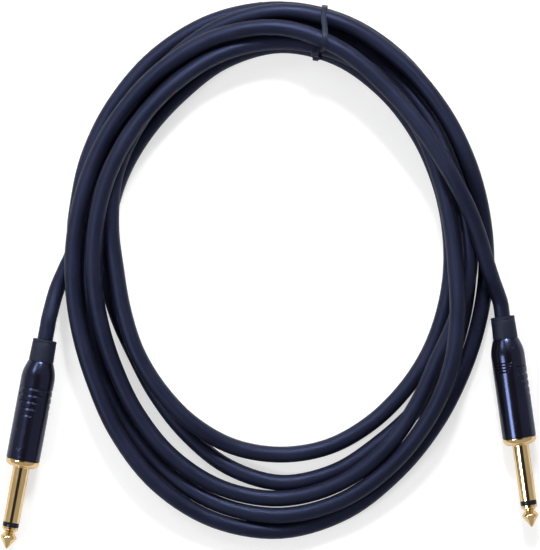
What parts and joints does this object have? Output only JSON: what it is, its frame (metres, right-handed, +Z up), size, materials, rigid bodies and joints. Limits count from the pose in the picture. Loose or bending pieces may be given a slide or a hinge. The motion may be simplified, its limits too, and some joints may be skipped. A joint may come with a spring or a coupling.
{
  "type": "instrument cable",
  "caption": "Coiled mono instrument lead with a straight jack plug on each end, screw-on shells, rubber boots and a tie round the bundle.",
  "frame": {"origin": "on the surface the lead lies on, under the middle of the box round the two plugs and the tie", "axes": "+Z up; +Y from the plug tips towards the far side of the coil, where the tie is; +X from the left plug to the right plug"},
  "size_m": [0.2076, 0.211, 0.0214],
  "materials": {
    "cable_jacket": "matt, faintly blue black",
    "boot_rubber": "matt",
    "black_metal": "satin black",
    "gold_plate": "polished gold plate",
    "ring_plastic": "gloss black",
    "inner_plastic": "matt black",
    "core_plastic": "natural",
    "bare_copper": "bare copper strands",
    "solder_metal": "dull solder",
    "tie_nylon": "semi-matt nylon"
  },
  "bodies": {
    "lead": {"cable_coil": "cable_jacket", "left_lead": "cable_jacket", "right_lead": "cable_jacket", "cable_tie": "tie_nylon", "left_tip_contact": "gold_plate", "left_tip_insulator": "ring_plastic", "left_sleeve_contact": "gold_plate", "left_rear_insulator": "inner_plastic", "left_tip_lug": "gold_plate", "left_ground_lug": "gold_plate", "left_chuck": "inner_plastic", "left_jacket_end": "cable_jacket", "left_shield_pigtail": "bare_copper", "left_core_insulation": "core_plastic", "left_center_conductor": "bare_copper", "left_solder": "solder_metal", "right_tip_contact": "gold_plate", "right_tip_insulator": "ring_plastic", "right_sleeve_contact": "gold_plate", "right_rear_insulator": "inner_plastic", "right_tip_lug": "gold_plate", "right_ground_lug": "gold_plate", "right_chuck": "inner_plastic", "right_jacket_end": "cable_jacket", "right_shield_pigtail": "bare_copper", "right_core_insulation": "core_plastic", "right_center_conductor": "bare_copper", "right_solder": "solder_metal"},
    "left_boot": {"left_boot": "boot_rubber"},
    "left_shell": {"left_shell": "black_metal"},
    "right_boot": {"right_boot": "boot_rubber"},
    "right_shell": {"right_shell": "black_metal"}
  },
  "joints": [
    {"name": "left_boot_slide", "type": "slide", "parent": "lead", "child": "left_boot", "axis": [0.1822, 0.9833, 0], "range_m": [0, 0.0045]},
    {"name": "left_shell_turn", "type": "hinge", "parent": "left_boot", "child": "left_shell", "pos_m": [-0.09174, -0.05187, 0.0065], "axis": [0.1822, 0.9833, 0], "range_deg": [0, 2160]},
    {"name": "right_boot_slide", "type": "slide", "parent": "lead", "child": "right_boot", "axis": [-0.1392, 0.9903, 0], "range_m": [0, 0.0045]},
    {"name": "right_shell_turn", "type": "hinge", "parent": "right_boot", "child": "right_shell", "pos_m": [0.09398, -0.0431, 0.0065], "axis": [-0.1392, 0.9903, 0], "range_deg": [0, 2160]}
  ],
  "couplings": [
    {"joint": "left_boot_slide", "follows": "left_shell_turn", "m_per_rad": 0.00011937},
    {"joint": "right_boot_slide", "follows": "right_shell_turn", "m_per_rad": 0.00011937}
  ]
}
